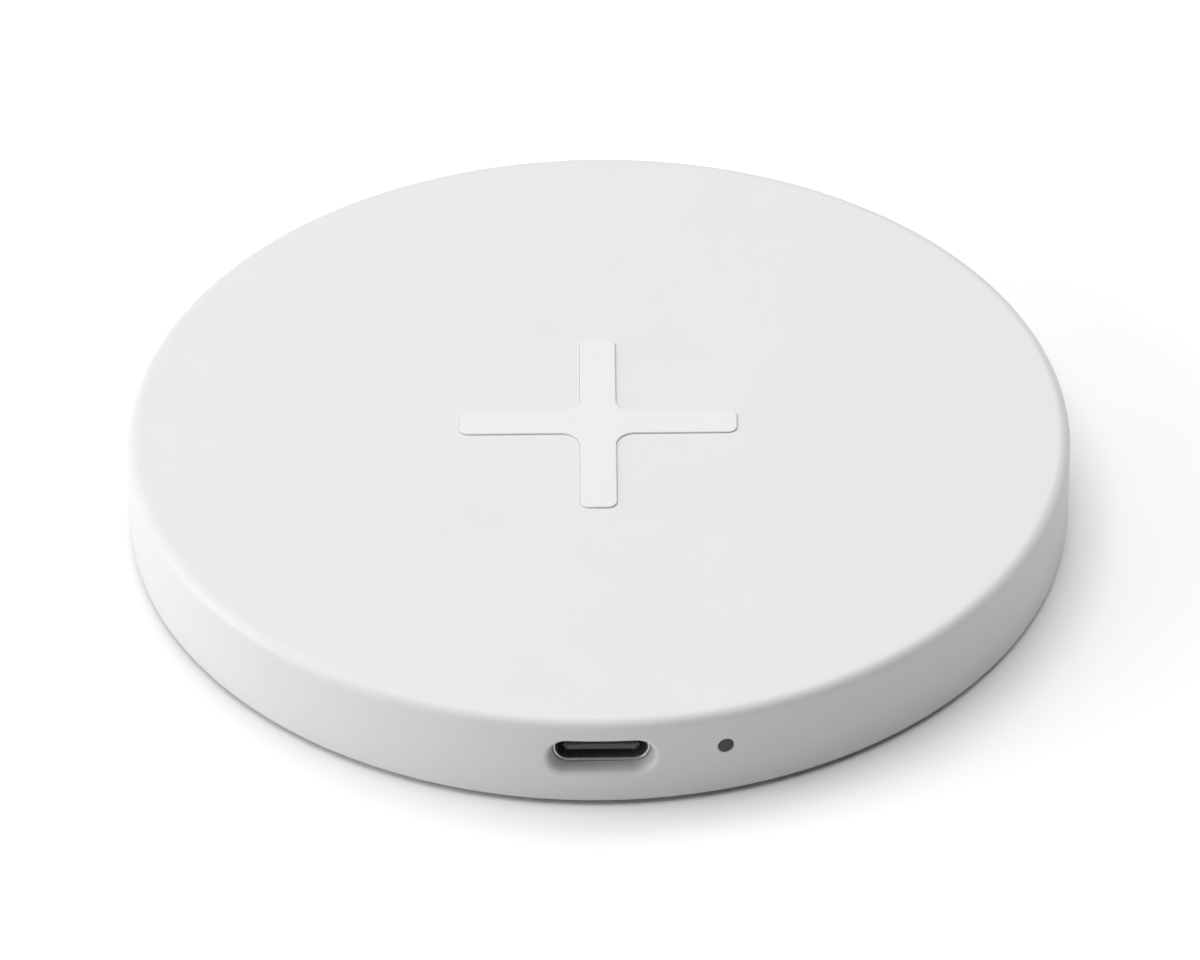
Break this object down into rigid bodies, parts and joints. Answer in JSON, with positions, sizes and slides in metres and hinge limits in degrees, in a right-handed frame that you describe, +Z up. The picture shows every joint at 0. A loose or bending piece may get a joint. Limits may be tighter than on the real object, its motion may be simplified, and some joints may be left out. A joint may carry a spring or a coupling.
{
  "type": "wireless charging pad",
  "caption": "Flat round charging pad with a cross-shaped grip inlay, a recessed socket in the side wall and a status light.",
  "frame": {"origin": "centre of the pad on the surface it rests on, under the foot ring", "axes": "+Z up through the top face, the socket in the side wall faces -Y, and the status light is towards +X"},
  "size_m": [0.09, 0.09, 0.0098],
  "materials": {
    "shell_plastic": "fine matt texture",
    "grip_rubber": "smooth satin",
    "cover_plastic": "fine matt texture",
    "foot_silicone": "soft matt",
    "adhesive_film": "matt film",
    "screw_steel": "zinc plated",
    "board_laminate": "solder mask",
    "gold_plating": "polished",
    "socket_steel": "nickel plated",
    "socket_insulator": "matt",
    "led_lens": "clear resin",
    "smoked_window": "smoked, satin",
    "litz_copper": "enamelled strands",
    "ferrite": "fired, matt",
    "thermistor_epoxy": "dipped",
    "tinned_metal": "bright tin",
    "chip_epoxy": "moulded",
    "capacitor_ceramic": "fired",
    "resistor_film": "glazed",
    "inductor_powder": "pressed powder"
  },
  "bodies": {
    "root": {"top_shell": "shell_plastic", "cross_grip": "grip_rubber", "bottom_cover": "cover_plastic", "foot_ring": "foot_silicone", "foot_adhesive": "adhesive_film", "cover_screws": "screw_steel", "board_screws": "screw_steel", "circuit_board": "board_laminate", "test_pads": "gold_plating", "usb_c_shell": "socket_steel", "usb_c_tongue": "socket_insulator", "usb_c_mid_plate": "socket_steel", "usb_c_contacts": "gold_plating", "status_led": "led_lens", "light_pipe": "smoked_window", "transmit_coil": "litz_copper", "coil_leads": "litz_copper", "ferrite_plate": "ferrite", "coil_adhesive": "adhesive_film", "ferrite_adhesive": "adhesive_film", "thermistor_bead": "thermistor_epoxy", "thermistor_leads": "tinned_metal", "controller_chip": "chip_epoxy", "power_delivery_chip": "chip_epoxy", "chip_lands": "tinned_metal", "bridge_transistors": "chip_epoxy", "voltage_regulator": "chip_epoxy", "package_leads": "tinned_metal", "resonance_capacitors": "capacitor_ceramic", "input_capacitors": "capacitor_ceramic", "sense_resistor": "resistor_film", "small_passives": "resistor_film", "end_caps": "tinned_metal", "filter_inductor": "inductor_powder", "inductor_terminals": "tinned_metal", "solder_joints": "tinned_metal"}
  },
  "joints": []
}
